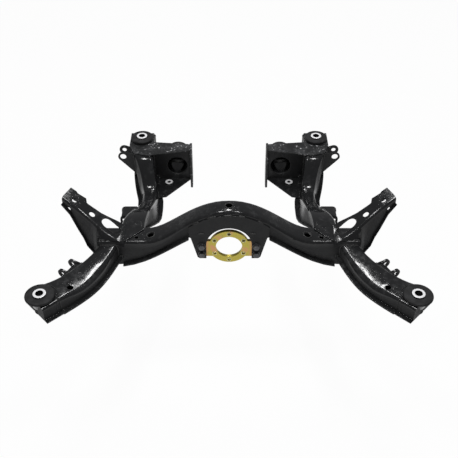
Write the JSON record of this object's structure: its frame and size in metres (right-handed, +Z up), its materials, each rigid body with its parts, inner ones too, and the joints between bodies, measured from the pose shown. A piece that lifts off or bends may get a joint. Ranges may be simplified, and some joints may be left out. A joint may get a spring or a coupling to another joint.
{
  "type": "rear axle subframe",
  "caption": "Welded pressed-steel rear axle subframe with an arched cross beam, curved arms, drop legs, link clevises, rubber body bushes and a bolted adapter ring.",
  "frame": {"origin": "midway between the two front body mounts, on the plane of the bush sleeves' top faces", "axes": "+X to the right as seen from the front of the picture, +Y to the rear, +Z up to the car's floor"},
  "size_m": [1.048, 0.8056, 0.264],
  "materials": {
    "black_paint": "semi-gloss dipped black with runs and specks",
    "worn_grey": "dull grey where the black is rubbed thin",
    "zinc_gold": "yellow zinc plating with pink and green cast",
    "bolt_grey": "dark phosphated steel",
    "bright_steel": "bright machined steel",
    "rubber": "matt moulded rubber"
  },
  "bodies": {
    "root": {"cross_beam_upper": "black_paint", "cross_beam_lower": "black_paint", "cross_beam_end_plates": "black_paint", "diff_mount_plate": "black_paint", "adapter_ring": "zinc_gold", "adapter_bolts": "bolt_grey", "adapter_nuts": "bolt_grey", "left_arm_upper": "black_paint", "left_arm_lower": "black_paint", "left_bush_socket": "black_paint", "left_arm_clevis": "black_paint", "left_leg_upper": "black_paint", "left_leg_lower": "black_paint", "left_leg_clevis": "black_paint", "left_tower_back": "black_paint", "left_tower_cap": "worn_grey", "left_tower_clevis_front": "black_paint", "left_tower_clevis_rear": "black_paint", "left_inner_web": "black_paint", "left_inner_shelf": "black_paint", "left_shelf_collar": "bright_steel", "left_bush_eye": "black_paint", "left_end_flange": "worn_grey", "left_joint_gusset": "black_paint", "left_horn": "black_paint", "left_horn_rear_plate": "black_paint", "front_left_can": "black_paint", "front_left_rubber": "rubber", "front_left_sleeve": "bright_steel", "rear_left_can": "black_paint", "rear_left_rubber": "rubber", "rear_left_sleeve": "bright_steel", "right_arm_upper": "black_paint", "right_arm_lower": "black_paint", "right_bush_socket": "black_paint", "right_arm_clevis": "black_paint", "right_leg_upper": "black_paint", "right_leg_lower": "black_paint", "right_leg_clevis": "black_paint", "right_tower_back": "black_paint", "right_tower_cap": "worn_grey", "right_tower_clevis_front": "black_paint", "right_tower_clevis_rear": "black_paint", "right_inner_web": "black_paint", "right_inner_shelf": "black_paint", "right_shelf_collar": "bright_steel", "right_bush_eye": "black_paint", "right_end_flange": "worn_grey", "right_joint_gusset": "black_paint", "right_horn": "black_paint", "right_horn_rear_plate": "black_paint", "front_right_can": "black_paint", "front_right_rubber": "rubber", "front_right_sleeve": "bright_steel", "rear_right_can": "black_paint", "rear_right_rubber": "rubber", "rear_right_sleeve": "bright_steel"}
  },
  "joints": []
}
